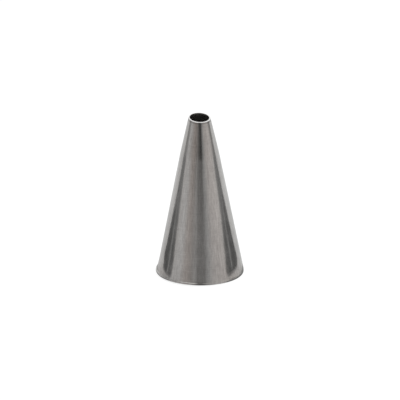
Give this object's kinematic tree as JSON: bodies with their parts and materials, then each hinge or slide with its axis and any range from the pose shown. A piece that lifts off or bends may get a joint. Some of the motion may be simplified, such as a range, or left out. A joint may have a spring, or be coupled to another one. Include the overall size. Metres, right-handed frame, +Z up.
{
  "type": "piping nozzle",
  "caption": "Plain round piping nozzle: a tall tapered steel shell, open at both ends, with a small round mouth and a narrow lip round its wide end.",
  "frame": {"origin": "centre of the wide end, on the plane that the lip stands on", "axes": "+Z up the axis of the nozzle, from the wide end to the mouth; X and Y are alike, because the part is round"},
  "size_m": [0.027, 0.027, 0.0505],
  "materials": {
    "steel": "fine satin stainless steel with turned marks round the axis, brighter on the cut mouth"
  },
  "bodies": {
    "root": {"nozzle_shell": "steel"}
  },
  "joints": []
}
